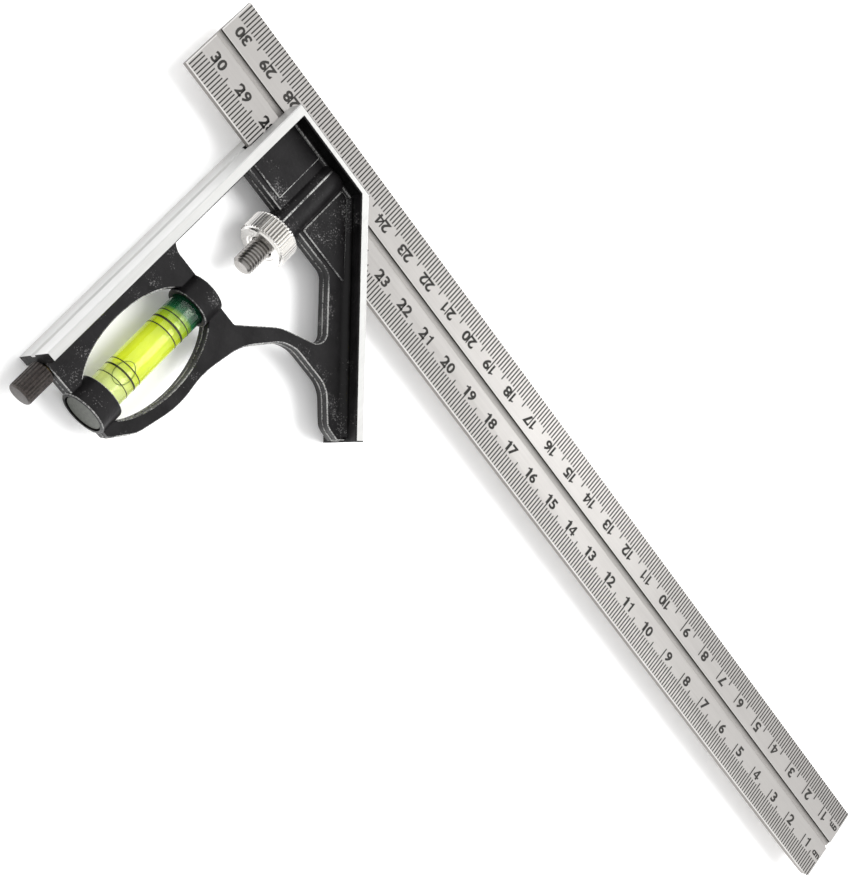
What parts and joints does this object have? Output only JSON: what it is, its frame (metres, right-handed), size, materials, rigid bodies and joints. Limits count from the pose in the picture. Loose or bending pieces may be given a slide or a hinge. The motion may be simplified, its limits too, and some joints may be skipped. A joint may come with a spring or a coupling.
{
  "type": "combination square",
  "caption": "Steel rule with a groove, clamped by a knurled nut in a cast head that has ground 90 and 45 degree faces, a spirit vial and a scriber.",
  "frame": {"origin": "below the middle of the square's bounding box, on the surface it lies on", "axes": "+X runs along the rule from the head's overhang towards the long end, +Y from the scriber towards the rule's outer edge, +Z out of the graduated side"},
  "size_m": [0.3048, 0.1124, 0.016],
  "materials": {
    "black_enamel": "semi-gloss enamel on a die casting, with ground bare-metal faces",
    "stainless_rule": "satin chrome with black-filled etched graduations",
    "zinc_plated_steel": "zinc plate, dull",
    "nickel_plate": "bright nickel plate on a straight knurl",
    "spring_steel": "bright drawn wire",
    "clear_acrylic": "clear moulded tube",
    "yellow_green_spirit": "dyed clear spirit",
    "moulded_plug": "moulded, slightly cloudy",
    "black_plastic": "dull dark disc",
    "tool_steel": "hardened and ground",
    "blackened_steel": "blackened, fluted",
    "brass": "split friction sleeve"
  },
  "bodies": {
    "head": {"head_casting": "black_enamel", "vial_tube": "clear_acrylic", "vial_liquid": "yellow_green_spirit", "vial_plug": "moulded_plug", "vial_cap": "black_plastic", "scriber_sleeve": "brass", "clamp_spring": "spring_steel"},
    "blade": {"blade": "stainless_rule"},
    "nut": {"clamp_nut": "nickel_plate"},
    "bolt": {"clamp_bolt": "zinc_plated_steel"},
    "scriber": {"scriber_needle": "tool_steel", "scriber_handle": "blackened_steel"}
  },
  "joints": [
    {"name": "blade_slide", "type": "slide", "parent": "head", "child": "blade", "axis": [1, 0, 0], "range_m": [-0.235, 0.025]},
    {"name": "nut_turn", "type": "hinge", "parent": "head", "child": "nut", "pos_m": [-0.106, 0.01985, 0.008], "axis": [0, 1, 0], "range_deg": [0, 270]},
    {"name": "bolt_draw", "type": "slide", "parent": "head", "child": "bolt", "axis": [0, 1, 0], "range_m": [0, 0.00075]},
    {"name": "scriber_pull", "type": "slide", "parent": "head", "child": "scriber", "axis": [0, -1, 0], "range_m": [0, 0.04]}
  ],
  "couplings": [
    {"joint": "bolt_draw", "follows": "nut_turn", "m_per_rad": 0.00015915}
  ]
}
